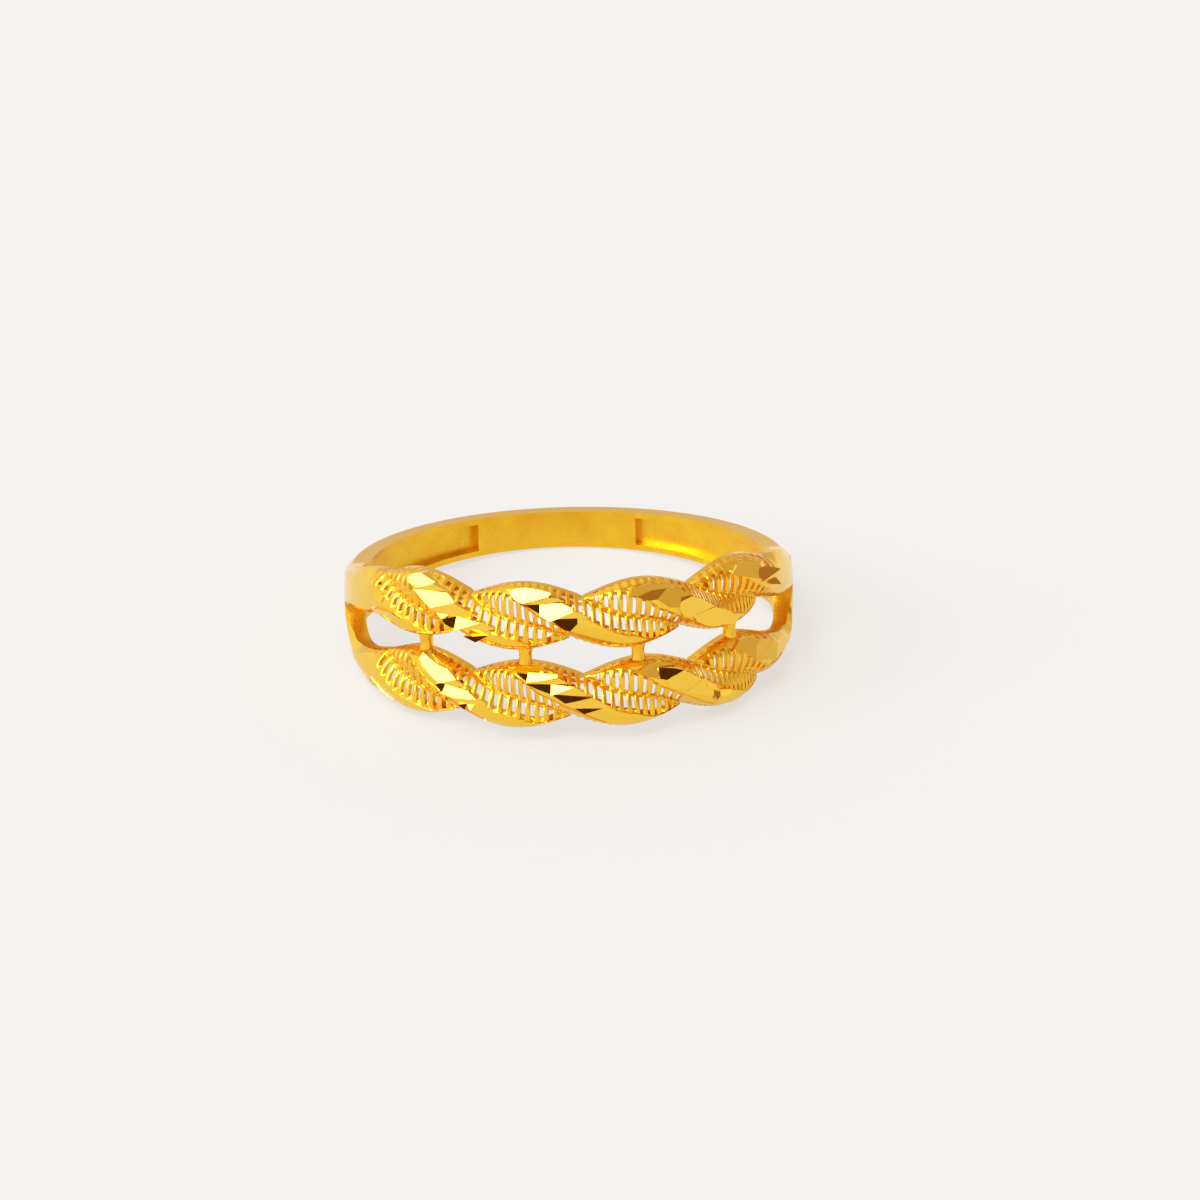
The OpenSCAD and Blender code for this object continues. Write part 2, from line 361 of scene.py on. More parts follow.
@dataclass
class RopeStrip:
    """One strip of a row: a hollow dome with two pierced flanks and the bed of its leaf.

    A strip at either end also holds its arm and its half of the shank. Columns of points stand along the
    strip, and 23 rows run across it: 0 to 4 along the low edge, to 7 on the low flank, 8 to 14 on the
    leaf, 15 to 18 on the high flank, and the rest along the high edge.
    """

    row: RopeRow
    k: int
    place: RingPlace
    finishes: list[bpy.types.Material]
    edge_height: float = 0.34
    crest_height: float = 1.3
    seam_rise: float = 0.6
    flank_wall: float = 0.18
    rim_width: float = 0.25
    slot_share: float = 0.47
    bar_depth: float = 0.07
    pit_depth: float = 0.13
    scallop_depth: float = 0.10
    leaf_bed: float = 0.07
    tail_rise: float = 0.05
    patch_width: float = 0.17
    shoulder_wall: float = 1.15
    back_wall: float = 1.0
    edge_bevel: float = 0.25
    scoop_width: float = 0.9
    scoop_turn: float = 72.0
    crown: float = 0.08
    arm_turn: float = 57.0
    arm_blend: float = 15.0
    pocket_depth: float = 0.4
    pocket_rim: float = 0.25
    pocket_turns: tuple[float, float] = (97.0, 156.0)
    shoulder_cut: float = 0.28
    shoulder_turns: tuple[float, float] = (60.0, 103.0)
    smooth_deg: float = 38.0
    ROWS = 23
    LEAF_ROWS = (8, 14)
    # Rows of a bevel on an arm or the shank
    BEVEL = 3
    # Place along the strip, and the low and high edge of its leaf as shares of its width
    LEAF = np.array([
        [0.00, 0.88, 0.93], [0.30, 0.86, 0.91], [0.36, 0.80, 0.90], [0.44, 0.66, 0.91], [0.52, 0.53, 0.92],
        [0.62, 0.33, 0.945], [0.73, 0.28, 0.90], [0.80, 0.25, 0.84], [0.88, 0.24, 0.74], [1.03, 0.16, 0.67],
        [1.135, 0.13, 0.614], [1.21, 0.12, 0.56], [1.42, 0.12, 0.48], [1.62, 0.14, 0.21], [1.90, 0.18, 0.22],
    ])
    # Places along the strip between which each flank is ribbed and its edge pitted, and how they fade
    LOW_RIBS = (0.10, 0.90)
    LOW_PITS = (0.10, 1.28)
    HIGH_RIBS = (0.08, 1.80)
    RIB_FADE = 0.04
    # Share of its depth that a pit has in each row from the edge on
    PIT_ROWS = (0.0, 0.8, 1.0, 1.0)
    # Share of the slots' spacing by which a bar's foot is wider than the bar
    BAR_FOOT = 0.02
    # Places along the strip where the leaf begins, where its tail rises and where its low edge stops
    # being scalloped
    LEAF_START = 0.36
    TAIL_START, TAIL_BLEND = 1.1, 0.25
    SCALLOP_END = 1.24
    # Where the plain patch of the upper left shoulder fades out
    PATCH_END, PATCH_FADE = 1.75, 0.6
    # Powers that make the dome rise fast from its ends and from its edges
    END_POWER, EDGE_POWER = 0.6, 0.75
    # Distances of the first rows from a free edge and from a seam, then the lip at the leaf
    FREE_STOPS = (0.03, 0.045, 0.17, 0.215)
    SEAM_STOPS = (0.02, 0.035, 0.09, 0.12)
    LIP = 0.03
    LEAST_FLANK = 0.1
    # Slots to the turn of one lobe, by strip, before and after the place where their spacing changes
    SLOTS = ((13, 13), (12, 13.3), (15, 14.3), (13.2, 17), (12, 13))
    SLOT_BEND = 0.9
    # Places of the columns across one bar, counted in slots
    BAR_COLUMNS = (0.81, 0.90, 1.0, 1.10, 1.19)
    LEAST_STEP = 0.004
    OPENINGS = (
        Opening(True, 0.10, 0.82, 0.28, (4, 7)), Opening(False, 0.36, 1.76, 0.30, (15, 18)),
        Opening(False, 0.13, 1.0, 0.2, (19, 20)),
    )
    # The strip whose low flank is ribbed but not pierced
    CLOSED = 1
    # How far a strip may have become an arm where it is still pierced
    MOST_ARM = 0.2
    # Most of an arm's width that its bevel and its scooped side take
    MOST_BEVEL, MOST_SCOOP = 0.3, 0.45
    # Degrees over which the crown and the bevel along the fork grow, and the shoulder's cut at its ends
    CROWN_BLEND, FORK_BEVEL_BLEND = 12.0, 6.0
    SHOULDER_BLENDS = (12.0, 9.0)
    # Slack in mm by which a pocket's wall counts as in the pocket
    POCKET_SLACK = 0.005
    # Degrees from a pocket's end to the columns on either side of it, and to the next ones inside
    POCKET_STEP, POCKET_INNER = 0.1, (6, 4)
    # Number of columns behind a pocket, along it and along the arm, and where the last ones begin
    BACK_COLUMNS, POCKET_COLUMNS, ARM_COLUMNS, ARM_START = 7, 12, 14, 80
    # Turns of the columns on either side of the fork's end
    BEFORE_FORK = (94.5, 92.0, 89.9)
    AFTER_FORK = (87.0, 85.5, 84.0, 82.0)
    # Slack in degrees with which a column counts as behind the fork, and in slots with which two
    # neighbouring columns count as the sides of a slot
    FORK_SLACK, SLOT_SLACK = 0.01, 0.02
    # Width at which a strip starts to be hollow, and over which it becomes wholly so
    HOLLOW_WIDTH, HOLLOW_BLEND = 0.5, 0.3
    # Most of the width that a rim takes, and the share of it next to the rim that a narrow row takes
    RIM_SHARE, RIM_STEP = 0.35, 0.012
    # Where an edge turns from free to seam, how early and over what length along the strip
    SEAM_EARLY, SEAM_FADE = 0.02, 0.06

    @property
    def finger_r(self) -> float:
        """Radius of the finger hole."""
        return self.place.finger_r

    @property
    def is_end(self) -> bool:
        """Whether the strip grows out of a shoulder."""
        return self.k in (0, self.row.last)

    def slot_count(self, t: float) -> float:
        """Number of slots from the strip's start to a place along it."""
        first, then = self.SLOTS[self.k]
        return first * min(t, self.SLOT_BEND) + then * max(0.0, t - self.SLOT_BEND)

    def slot_place(self, count: float) -> float:
        """Place along the strip where slots are counted up to a number.

        Args:
            count: The number of slots.

        Returns:
            The place.
        """
        first, then = self.SLOTS[self.k]
        bend = first * self.SLOT_BEND
        return count / first if count < bend else self.SLOT_BEND + (count - bend) / then

    def along(self, turn: float) -> float:
        """Place along the strip: 0 at its upper notch, 1 at the next one."""
        return (turn - self.row.upper_notch(self.k)) / self.row.lobe_turn

    def armness(self, turn: float) -> float:
        """0 where the row is a lobe and 1 where it has wholly become an arm."""
        return ease((abs(turn) - self.arm_turn) / self.arm_blend)

    def height(self, t: float) -> float:
        """How far the dome stands up at a place along the strip, as a share of its crest."""
        return max(0.0, math.sin(math.pi * clamp(t / (1 + self.row.notch_share)))) ** self.END_POWER

    def seam(self, t: float) -> float:
        """Height of a seam at a place along it, as a share of the crest."""
        bow = max(0.0, math.sin(math.pi * clamp(t / self.row.notch_share)))
        return self.seam_rise * bow ** self.END_POWER

    def dome(self, t: float, share: float) -> float:
        """Works out the plain dome.

        Args:
            t: Place along the strip.
            share: Place across it, from 0 at its low edge to 1 at its high edge.

        Returns:
            Its reach.
        """
        low = self.seam(t) if self.k > 0 else 0.0
        high = self.seam(t - 1) if self.k < self.row.last else 0.0
        lift = mix(low, high, clamp(share))
        across = (4 * clamp(share) * (1 - clamp(share))) ** self.EDGE_POWER
        rise = self.crest_height - self.edge_height
        return self.finger_r + self.edge_height + rise * mix(lift, max(lift, self.height(t)), across)

    def tail(self, t: float) -> float:
        """0 before the leaf's tail and 1 along it."""
        return ease((t - self.TAIL_START) / self.TAIL_BLEND)

    def skin(self, t: float, share: float) -> float:
        """Reach of the dome with its leaf's tail, which stands a little proud."""
        return self.dome(t, share) + self.tail_rise * self.tail(t)

    def sunk(self, t: float) -> float:
        """Rounds the bars.

        Args:
            t: Place along the strip.

        Returns:
            0 on top of a bar and 1 in the slot beside it.
        """
        phase = (self.slot_count(t) + 0.5) % 1 - 0.5
        half = (1 - self.slot_share) / 2 + self.BAR_FOOT
        return 1 - math.sqrt(max(0.0, 1 - min(1.0, abs(phase) / half) ** 2))

    def leaf(self, t: float) -> tuple[float, float]:
        """Finds the leaf's edges.

        Args:
            t: Place along the strip.

        Returns:
            Shares of the width at which its low and high edge lie.
        """
        low, high = (float(np.interp(t, self.LEAF[:, 0], self.LEAF[:, i])) for i in (1, 2))
        if self.k == 0 and self.row.side > 0:
            # The upper left shoulder keeps a plain patch beside its leaf
            high += self.patch_width * clamp((self.PATCH_END - t) / self.PATCH_FADE)
        return low, high

    def breaks(self, width: float, free: bool) -> list[float]:
        """Places of a flank's rows from its edge to the leaf.

        Args:
            width: Width of the flank.
            free: Whether its edge is free, and not a seam with the next strip.

        Returns:
            Nine distances from the edge.
        """
        stops = self.FREE_STOPS if free else self.SEAM_STOPS
        fit = min(1.0, width / (stops[-1] + self.LIP + self.LEAST_FLANK))
        start, end = stops[-1] * fit, width - self.LIP * fit
        return [0] + [stop * fit for stop in stops] + [
            mix(start, end, 1 / 3), mix(start, end, 2 / 3), end, width]

    def lobe_rises(self, low: float, high: float, t: float) -> list[float]:
        """Places the rows across a lobe.

        Args:
            low: Rise of its low edge.
            high: Rise of its high edge.
            t: Place along the strip.

        Returns:
            Rises of the rows.
        """
        width = high - low
        leaf_low, leaf_high = self.leaf(t)
        under = self.breaks(width * leaf_low, t > self.row.notch_share)
        over = self.breaks(width * (1 - leaf_high), t < 1)
        edge = self.LIP * min(1.0, width)
        first, final = low + width * leaf_low, low + width * leaf_high
        inner = [first + edge] + [mix(first, final, s) for s in (0.25, 0.5, 0.75)] + [final - edge]
        return [low + d for d in under] + inner + [high - d for d in reversed(over)]

    def on_leaf(self, t: float, j: int) -> bool:
        """Whether row j lies inside the leaf's edges at a place along the strip."""
        return self.LEAF_ROWS[0] < j < self.LEAF_ROWS[1] and t > self.LEAF_START

    def rib(self, t: float, j: int) -> float:
        """Sinks the flanks between the bars, and the pits along the edges.

        Args:
            t: Place along the strip.
            j: Row.

        Returns:
            How far the row is sunk below the tops of the bars.
        """
        if self.on_leaf(t, j):
            return 0.0
        flank, pits = self.LEAF_ROWS[0], len(self.PIT_ROWS)
        begin, finish = self.LOW_PITS if j < pits else self.LOW_RIBS if j <= flank else self.HIGH_RIBS
        fade = clamp((t - begin + self.RIB_FADE) / self.RIB_FADE)
        fade *= clamp((finish + self.RIB_FADE - t) / self.RIB_FADE)
        depth = j if j <= flank else self.ROWS - 1 - j
        deep = self.pit_depth * self.PIT_ROWS[depth] if depth < pits else self.bar_depth
        near_leaf = 0.5 if depth == flank else 1.0
        return deep * self.sunk(t) * fade * near_leaf

    def arm_rises(self, turn: float, low: float, high: float) -> list[float]:
        """Places the rows across an arm or the shank: bevel, crowned outside, bevel.

        Args:
            turn: Turn in degrees.
            low: Rise of its low edge.
            high: Rise of its high edge.

        Returns:
            Rises of the rows.
        """
        width = max(high - low, TINY)
        narrow = min(self.MOST_BEVEL, self.edge_bevel / width)
        scoop = ease(self.row.way(turn, self.row.fork_turn, self.scoop_turn))
        wide = min(self.MOST_SCOOP, mix(self.edge_bevel, self.scoop_width, scoop) / width)
        first, end = (narrow, wide) if self.row.side > 0 else (wide, narrow)
        final, steps = 1 - end, self.ROWS - 1 - 2 * self.BEVEL
        shares = [first * j / self.BEVEL for j in range(self.BEVEL)]
        shares += [mix(first, final, j / steps) for j in range(steps + 1)]
        shares += [mix(final, 1, j / self.BEVEL) for j in range(1, self.BEVEL + 1)]
        return [mix(low, high, s) for s in shares]

    def arm_drop(self, turn: float, rise: float, low: float, high: float, j: int) -> float:
        """Crowns and bevels the outside of an arm or the shank.

        Args:
            turn: Turn in degrees.
            rise: Rise of the point.
            low: Rise of the low edge.
            high: Rise of the high edge.
            j: Row.

        Returns:
            How far the point is below the highest of the outside.
        """
        before_fork = self.row.fork_turn - abs(turn)
        forked = clamp(before_fork / self.CROWN_BLEND)
        middle = mix(0, (low + high) / 2, forked)
        half = mix(self.row.half_width(turn), (high - low) / 2, forked)
        drop = self.crown * ((rise - middle) / half) ** 2 if half > 0 else self.crown
        past_low, past_high = self.BEVEL - j, j - (self.ROWS - 1 - self.BEVEL)
        outer, inner = (past_high, past_low) if self.row.side > 0 else (past_low, past_high)
        if outer > 0:
            drop += self.edge_bevel * outer / self.BEVEL
        elif inner > 0:
            drop += self.edge_bevel * inner / self.BEVEL * clamp(before_fork / self.FORK_BEVEL_BLEND)
        return drop

    def inside(self, turn: float, rise: float, rim: bool) -> float:
        """Shapes the inside of the shank or an arm, with its pocket and its cut-back shoulder.

        Args:
            turn: Turn in degrees.
            rise: Rise of the point.
            rim: Whether the point lies on a rim.

        Returns:
            Its reach.
        """
        a = abs(turn)
        start, end = self.shoulder_turns
        first, final = self.SHOULDER_BLENDS
        cut = self.shoulder_cut * ease((a - start) / first) * ease((end - a) / final)
        begin, finish = self.pocket_turns
        pocket_half = self.row.half_width(turn) - self.pocket_rim + self.POCKET_SLACK
        if begin < a < finish and not rim and abs(rise) < pocket_half:
            cut = self.pocket_depth
        return self.finger_r + cut

    def inner_share(self, j: int) -> float:
        """Place across the inside of an arm of the point that faces row j, with narrow rows at its rims.

        Args:
            j: Row.

        Returns:
            The place, from 0 at one rim to 1 at the other.
        """
        last = self.ROWS - 1
        if j in (0, last):
            return float(j == last)
        return mix(self.RIM_STEP, 1 - self.RIM_STEP, (j - 1) / (last - 2))

    def outside(self, turn: float, low: float, high: float) -> tuple[list[float], list[float]]:
        """Shapes the outside of one section.

        Args:
            turn: Turn of the section.
            low: Rise of its low edge.
            high: Rise of its high edge.

        Returns:
            Rise and reach of each row.
        """
        t, arm, width = self.along(turn), self.armness(turn), max(high - low, TINY)
        arms = self.arm_rises(turn, low, high) if arm > 0 else [0.0] * self.ROWS
        lobes = self.lobe_rises(low, high, t) if arm < 1 else arms
        back = clamp(-math.cos(math.radians(turn)))
        wall = self.finger_r + mix(self.shoulder_wall, self.back_wall, back)
        rise, reach = [], []
        for j in range(self.ROWS):
            z, out = mix(lobes[j], arms[j], arm), 0.0
            if arm < 1:
                out = self.dome(t, (z - low) / width) - self.rib(t, j)
                if self.on_leaf(t, j):
                    out += mix(-self.leaf_bed, self.tail_rise, self.tail(t))
                if j < self.BEVEL and self.row.notch_share < t < self.SCALLOP_END and arm == 0:
                    z += self.scallop_depth * self.sunk(t) * (self.BEVEL - j) / self.BEVEL
            if arm > 0:
                out = mix(out, wall - self.arm_drop(turn, z, low, high, j), arm)
            rise.append(z)
            reach.append(out)
        return rise, reach

    def column(self, turn: float) -> list[np.ndarray]:
        """Closed loop of points round one section of the strip.

        Args:
            turn: Turn of the section.

        Returns:
            The points on the outside, over the high edge, on the inside and back to the first.
        """
        low, high = self.row.low_edge(self.k, turn), self.row.high_edge(self.k, turn)
        rise, reach = self.outside(turn, low, high)
        t, arm, width = self.along(turn), self.armness(turn), high - low
        shank = abs(turn) > self.row.fork_turn
        deep = (1 - arm) * clamp((width - self.HOLLOW_WIDTH) / self.HOLLOW_BLEND)
        rim = min(self.rim_width, width * self.RIM_SHARE)
        lows = 0.0 if shank and self.row.side > 0 else rim
        highs = 0.0 if shank and self.row.side < 0 else rim
        # Along a seam the inside follows the dome and leaves no rim
        free = (t - self.row.notch_share + self.SEAM_EARLY, 1 + self.SEAM_EARLY - t)
        low_free = clamp(free[0] / self.SEAM_FADE) if self.k > 0 else 1.0
        high_free = clamp(free[1] / self.SEAM_FADE) if self.k < self.row.last else 1.0
        lows, highs = lows * low_free, highs * high_free
        last = self.ROWS - 1
        points = [at(turn, rise[j], reach[j]) for j in range(self.ROWS)]
        plain = self.inside(turn, high, highs > 0)
        points.append(at(turn, high, mix(max(plain, reach[last] - self.flank_wall), plain, high_free)))
        for j in reversed(range(self.ROWS)):
            share = self.inner_share(j) if arm >= 1 else (rise[j] - low) / max(width, TINY)
            edge = (j == 0 and lows > 0) or (j == last and highs > 0)
            z = mix(low + lows, high - highs, share)
            plain = self.inside(turn, z, edge)
            points.append(at(turn, z, mix(plain, max(plain, reach[j] - self.flank_wall), deep)))
        plain = self.inside(turn, low, lows > 0)
        points.append(at(turn, low, mix(max(plain, reach[0] - self.flank_wall), plain, low_free)))
        return points + [points[0]]

    def phases(self, start: float, finish: float) -> list[float]:
        """Places along the strip at which its columns stand, seven to each slot.

        Args:
            start: Where the strip begins.
            finish: Where it ends.

        Returns:
            The places.
        """
        half = self.slot_share / 2
        stops = (0.5 - half, 0.5 + half, *self.BAR_COLUMNS)
        last = round(self.slot_count(finish)) + 1
        found = [self.slot_place(n + p) for n in range(-1, last) for p in stops]
        inner = [t for t in found if start + self.LEAST_STEP < t < finish - self.LEAST_STEP]
        return [start] + inner + [finish]

    def shank_turns(self, end: float) -> list[float]:
        """Turns of the shank's and the arm's columns.

        Args:
            end: Turn at which the strip begins.

        Returns:
            The turns, from the back on.
        """
        begin, finish = self.pocket_turns
        step, (far, near) = self.POCKET_STEP, self.POCKET_INNER
        turns = list(np.linspace(180, finish + step, self.BACK_COLUMNS)) + [finish - step]
        turns += list(np.linspace(finish - far, begin + near, self.POCKET_COLUMNS))
        turns += [begin + step, begin - step]
        turns += [*self.BEFORE_FORK, self.row.fork_turn, *self.AFTER_FORK]
        return turns + list(np.linspace(self.ARM_START, end, self.ARM_COLUMNS))[:-1]

    def turns(self) -> list[float]:
        """Places the columns.

        Returns:
            Turns of all the columns of the strip.
        """
        row, k = self.row, self.k
        start = self.along(row.lower_notch(1)) if k == 0 else 0.0
        finish = 1.0 if k == row.last else 1 + row.notch_share
        lobe = [row.upper_notch(k) + t * row.lobe_turn for t in self.phases(start, finish)]
        if k == 0:
            return [-a for a in self.shank_turns(-lobe[0])] + lobe
        if k == row.last:
            return lobe + list(reversed(self.shank_turns(lobe[-1])))
        return lobe

    def openings(self, turns: list[float]) -> list[tuple[int, int, int]]:
        """Finds the slots and pits.

        Args:
            turns: Turns of the columns.

        Returns:
            For each opening, its column and its first and last row.
        """
        found = []
        for i, (here, there) in enumerate(zip(turns, turns[1:])):
            t = self.along((here + there) / 2)
            before, after = self.slot_count(self.along(here)), self.slot_count(self.along(there))
            off_middle = abs((before + after) / 2 % 1 - 0.5)
            if max(off_middle, abs(after - before - self.slot_share)) > self.SLOT_SLACK:
                continue
            if max(self.armness(here), self.armness(there)) > self.MOST_ARM:
                continue
            width = self.row.high_edge(self.k, here) - self.row.low_edge(self.k, here)
            leaf_low, leaf_high = self.leaf(t)
            for kind in self.OPENINGS:
                flank = width * (leaf_low if kind.low else 1 - leaf_high)
                pierced = not kind.low or self.k != self.CLOSED
                if pierced and kind.start < t < kind.end and flank > kind.least:
                    found.append((i, *kind.rows))
        return found

    def finish_of(self, turns: list[float], loop: int) -> list[FinishSlot]:
        """Finds the finish of each face of the strip's grid.

        Args:
            turns: Turns of the columns.
            loop: Number of faces round one section.

        Returns:
            The finish of each face: the leaf and the arms are polished, the flanks are as cast, and the
                inside of the arms and the shank and the walls along the fork are matt, in a deeper yellow
                that is painted shade.
        """
        found = []
        for before, after in zip(turns, turns[1:]):
            turn = (before + after) / 2
            t, arm = self.along(turn), self.armness(turn) > 0.5
            for j in range(loop):
                if arm:
                    fork = j in (self.ROWS - 1, loop - 1) and abs(turn) < self.row.fork_turn
                    inner = fork or self.ROWS <= j < loop - 1
                    found.append(FinishSlot.INSIDE if inner else FinishSlot.POLISHED)
                else:
                    leaf = self.LEAF_ROWS[0] <= j < self.LEAF_ROWS[1] and t > self.LEAF_START
                    found.append(FinishSlot.POLISHED if leaf else FinishSlot.CAST)
        return found

    def facing(self, j: int) -> int:
        """Number of the inside point that faces row j."""
        return 2 * self.ROWS - j

    def build(self) -> bpy.types.Object:
        """Shapes a grid into the strip's closed loop of sections and cuts its slots through.

        Returns:
            The strip, in the ring's own axes.
        """
        turns = self.turns()
        points = np.array([self.column(turn) for turn in turns])
        columns, loop = points.shape[:2]
        start_fresh()
        bpy.ops.mesh.primitive_grid_add(x_subdivisions=loop - 1, y_subdivisions=columns - 1, size=0.01)
        strip = new_piece(f"strip_{self.k}")
        shape(strip, points)
        for finish in self.finishes:
            strip.data.materials.append(finish)
        strip.data.polygons.foreach_set("material_index", self.finish_of(turns, loop - 1))
        gone = np.zeros((columns - 1, loop - 1), bool)
        walls = []
        for i, first, final in self.openings(turns):
            for j in range(first, final):
                gone[i, [j, self.facing(j + 1)]] = True
                walls += [(i, j, i, j + 1), (i + 1, j + 1, i + 1, j)]
            walls += [(i, first, i + 1, first), (i + 1, final, i, final)]
        # Where both rows are one shank, there is no wall between them
        middle = loop - 2 if self.row.side > 0 else self.ROWS - 1
        for i, (here, there) in enumerate(zip(turns, turns[1:])):
            if min(abs(here), abs(there)) > self.row.fork_turn - self.FORK_SLACK:
                gone[i, middle] = True
        bpy.ops.object.mode_set(mode="EDIT")
        bpy.ops.mesh.select_mode(type="FACE")
        bpy.ops.mesh.select_all(action="DESELECT")
        bpy.ops.object.mode_set(mode="OBJECT")
        strip.data.polygons.foreach_set("select", gone.ravel())
        bpy.ops.object.mode_set(mode="EDIT")
        bpy.ops.mesh.delete(type="ONLY_FACE")
        work = bmesh.from_edit_mesh(strip.data)
        work.verts.ensure_lookup_table()
        for a, j, b, m in walls:
            around = (a * loop + j, b * loop + m, b * loop + self.facing(m), a * loop + self.facing(j))
            wall = work.faces.new([work.verts[n] for n in around])
            wall.material_index = FinishSlot.CAST
        bmesh.update_edit_mesh(strip.data)
        bpy.ops.mesh.select_mode(type="VERT")
        bpy.ops.object.mode_set(mode="OBJECT")
        return strip


class Cut(Enum):
    """Ways in which the diamond tool leaves a facet leaning, each the turn and the height it faces.

    Without a turn the facet keeps its own, and without a value it follows the leaf.
    """

    FRONT = (-3.6, 18.0)
    LEFT = (-34.0, 24.0)
    RIGHT = (26.0, 22.0)
    TOP = (-13.0, 35.6)
    SIDE = (57.0, 27.0)
    DOWN = (None, 2.0)
    HIGH = (None, 34.0)
    ALONG = None


@dataclass
class CutLeaf:
    """Diamond-cut facets of one leaf, each a flat plate let into the leaf's bed."""

    strip: RopeStrip
    facets: list[tuple[Cut, list[tuple[float, float]]]]
    depth: float = 0.2
    sunk: float = 0.03
    front_lean: float = 0.6
    # How far its face stays above the leaf's bed, and its corners from the leaf's edges as a share
    cover: float = 0.015
    edge: float = 0.03
    # Most that a facet's corners may differ in height, by strip: the leaves get plainer to the right
    MOST_LEAN = (0.2, 0.5, 0.5, 0.34, 0.24)
    # Steps in which a facet that would lean too far is turned back to lie along the leaf
    STEPS = 20

    def foot(self, t: float, w: float) -> np.ndarray:
        """Finds a point of the plain leaf.

        Args:
            t: Place along the strip.
            w: Rise from the row's middle.

        Returns:
            The point.
        """
        strip, row = self.strip, self.strip.row
        turn = row.upper_notch(strip.k) + t * row.lobe_turn
        low, high = row.low_edge(strip.k, turn), row.high_edge(strip.k, turn)
        share = (row.middle + w - low) / max(high - low, TINY)
        return at(turn, row.middle + w, strip.skin(t, min(1 - self.edge, max(self.edge, share))))

    def lift(self, cut: Cut, feet: np.ndarray, outs: np.ndarray, count: int) -> np.ndarray:
        """Leans a facet's face as its cut asks, as far as its corners may differ in height.

        Args:
            cut: How the facet leans.
            feet: Points of the leaf under the facet, its corners first.
            outs: Directions outwards at the points.
            count: Number of corners.

        Returns:
            Height of each corner above the leaf.
        """
        corners, ways = feet[:count], outs[:count]
        middle = corners.mean(axis=0)
        own = np.linalg.svd(corners - middle)[2][2]
        own = own if own @ ways.mean(axis=0) > 0 else -own
        aim = own
        if cut.value:
            turn, height = cut.value
            if turn is None:
                turn = math.degrees(math.atan2(own[0], -own[1]))
            aim = direction(turn, height)
        most_lean = self.MOST_LEAN[self.strip.k] + (self.front_lean if cut is Cut.FRONT else 0.0)
        for step in range(self.STEPS + 1):
            normal = aim * (1 - step / self.STEPS) + own * step / self.STEPS
            normal /= np.linalg.norm(normal)
            lift = -((corners - middle) @ normal) / (ways @ normal)
            if lift.max() - lift.min() < most_lean:
                break
        above = -((feet - middle) @ normal) / (outs @ normal)
        return lift + max(0.0, -self.sunk - lift.min(), self.cover - self.strip.leaf_bed - above.min())

    def plate(self, cut: Cut, corners: list[tuple[float, float]]) -> bpy.types.Object:
        """Makes one facet.

        Args:
            cut: How the facet leans.
            corners: Its corners, as places along the strip and rises from the row's middle.

        Returns:
            The plate, in the ring's own axes.
        """
        # The corners come first, then points between them, which the plate has to cover too
        count = len(corners)
        spots = np.array(corners)
        spots = np.vstack([spots, (spots + np.roll(spots, 1, axis=0)) / 2, (spots + spots.mean(axis=0)) / 2,
                           spots.mean(axis=0)[None]])
        feet = np.array([self.foot(t, w) for t, w in spots])
        outs = feet * (1, 1, 0)
        outs /= np.linalg.norm(outs, axis=1)[:, None]
        lift = self.lift(cut, feet, outs, count)
        feet, outs = feet[:count], outs[:count]
        tops, roots = feet + outs * lift[:, None], feet - outs * self.depth
        if np.cross(tops[1] - tops[0], tops[2] - tops[1]) @ outs[0] < 0:
            tops, roots = tops[::-1], roots[::-1]
        start_fresh()
        bpy.ops.mesh.primitive_circle_add(vertices=count, fill_type="NGON", radius=MM)
        plate = new_piece("facet")
        shape(plate, tops)
        inward = Vector(outs.mean(axis=0)) * -self.depth * MM
        bpy.ops.object.mode_set(mode="EDIT")
        bpy.ops.mesh.select_all(action="SELECT")
        bpy.ops.mesh.extrude_region_move(TRANSFORM_OT_translate={"value": inward})
        bpy.ops.object.mode_set(mode="OBJECT")
        # The plate's foot follows the dome, a little below its surface
        shape(plate, np.vstack([tops, roots]))
        bpy.ops.object.mode_set(mode="EDIT")
        bpy.ops.mesh.select_all(action="SELECT")
        bpy.ops.mesh.normals_make_consistent(inside=False)
        bpy.ops.object.mode_set(mode="OBJECT")
        return plate

    def build(self) -> list[bpy.types.Object]:
        """Makes all the facets of the leaf, each a plate of its own."""
        return [self.plate(cut, corners) for cut, corners in self.facets]


@dataclass
class Posts:
    """Four small posts that join the two rows."""

    place: RingPlace
    turns: tuple[float, ...] = (-46.8, -15.6, 15.6, 46.8)
    radius: float = 0.28
    half_height: float = 0.42
    flare: float = 1.15
    neck: float = 1.03
    sides: int = 24
    smooth_deg: float = 40.0
    # Lengths of a post's stretches from its foot up
    STRETCHES = (0.12, 0.12, 0.10, 0.16, 0.10, 0.12, 0.12)

    def build(self) -> bpy.types.Object:
        """Extrudes each post from a disc, flared at both ends.

        Returns:
            The posts, in the ring's own axes.
        """
        made = []
        reach = self.place.finger_r + self.radius
        half = (self.flare, self.flare, self.neck, 1.0)
        sizes = half + half[::-1]
        for turn in self.turns:
            start_fresh()
            foot = at(turn, -self.half_height, reach) * MM
            bpy.ops.mesh.primitive_circle_add(
                vertices=self.sides, fill_type="NGON", radius=self.radius * self.flare * MM, location=foot)
            post = new_piece("post")
            bpy.ops.object.transform_apply(location=True, rotation=True, scale=True)
            bpy.ops.object.mode_set(mode="EDIT")
            bpy.ops.mesh.select_all(action="SELECT")
            for before, after, stretch in zip(sizes, sizes[1:], self.STRETCHES):
                up = Vector((0, 0, stretch * MM))
                bpy.ops.mesh.extrude_region_move(TRANSFORM_OT_translate={"value": up})
                bpy.ops.transform.resize(value=(after / before, after / before, 1))
            bpy.ops.mesh.select_all(action="SELECT")
            bpy.ops.mesh.normals_make_consistent(inside=False)
            bpy.ops.object.mode_set(mode="OBJECT")
            made.append(post)
        return join(made, "posts")


